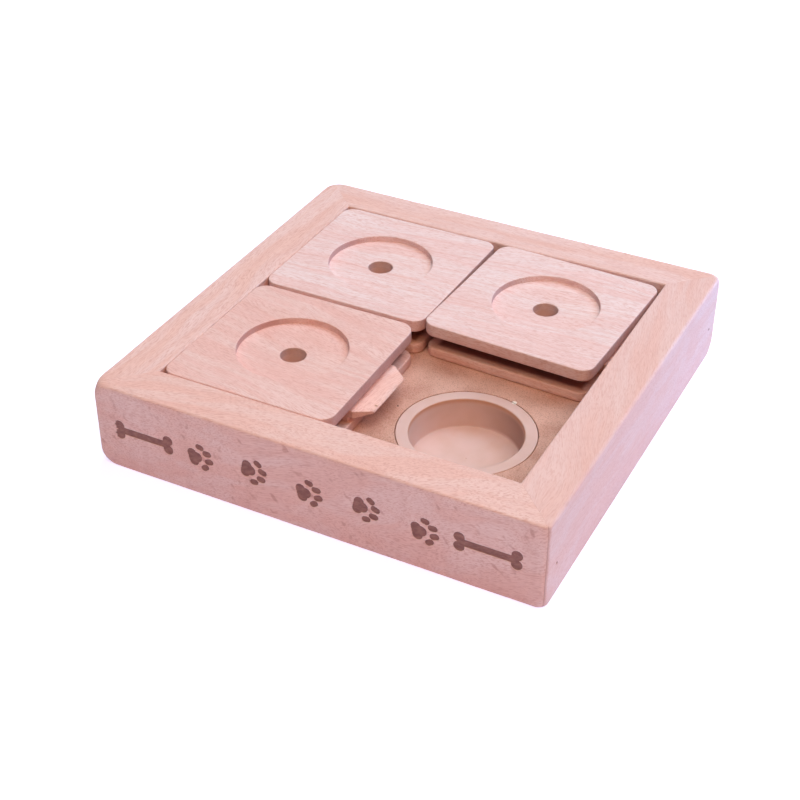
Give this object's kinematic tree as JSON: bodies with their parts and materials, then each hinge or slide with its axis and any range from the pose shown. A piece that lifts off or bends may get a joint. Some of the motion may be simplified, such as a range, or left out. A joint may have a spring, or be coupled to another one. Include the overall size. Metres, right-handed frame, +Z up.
{
  "type": "dog puzzle feeder toy",
  "caption": "Square mitred wooden tray with round food cups sunk in its floor, under sliding tiles that interlock by tongues and leave one cell free.",
  "frame": {"origin": "middle of the tray's underside, on the surface that it rests on", "axes": "+X along the ornamented front rail to the right, +Y to the back rail, +Z up, away from the table"},
  "size_m": [0.1904, 0.1904, 0.0374],
  "materials": {
    "beech_rail": "sanded and waxed",
    "beech_top": "sanded and waxed",
    "beech_base": "sanded",
    "beech_lath": "sanded",
    "floor_board": "pressed fibre, matt",
    "cup_plastic": "matt translucent",
    "pin_steel": "dull"
  },
  "bodies": {
    "tray": {"rail_front": "beech_rail", "rail_back": "beech_rail", "rail_left": "beech_rail", "rail_right": "beech_rail", "keeper_strip_left": "beech_lath", "keeper_strip_front": "beech_lath", "corner_pins": "pin_steel", "floor_panel": "floor_board", "cup_front_left": "cup_plastic", "cup_front_right": "cup_plastic", "cup_back_left": "cup_plastic", "cup_back_right": "cup_plastic"},
    "tile_front_left": {"tile_front_left_top": "beech_top", "tile_front_left_tongue_lath": "beech_lath", "tile_front_left_tongue_block": "beech_lath", "tile_front_left_base": "beech_base"},
    "tile_back_left": {"tile_back_left_top": "beech_top", "tile_back_left_tongue_lath": "beech_lath", "tile_back_left_tongue_block": "beech_lath", "tile_back_left_base": "beech_base"},
    "tile_back_right": {"tile_back_right_top": "beech_top", "tile_back_right_tongue_lath": "beech_lath", "tile_back_right_tongue_block": "beech_lath", "tile_back_right_base": "beech_base"}
  },
  "joints": [
    {"name": "tile_front_left_slide", "type": "slide", "parent": "tray", "child": "tile_front_left", "axis": [1, 0, 0], "range_m": [0, 0.0774]},
    {"name": "tile_back_left_slide", "type": "slide", "parent": "tray", "child": "tile_back_left", "axis": [0, 1, 0], "range_m": [-0.0018, 0.0005]},
    {"name": "tile_back_right_slide", "type": "slide", "parent": "tray", "child": "tile_back_right", "axis": [0, 1, 0], "range_m": [-0.0007, 0]}
  ]
}
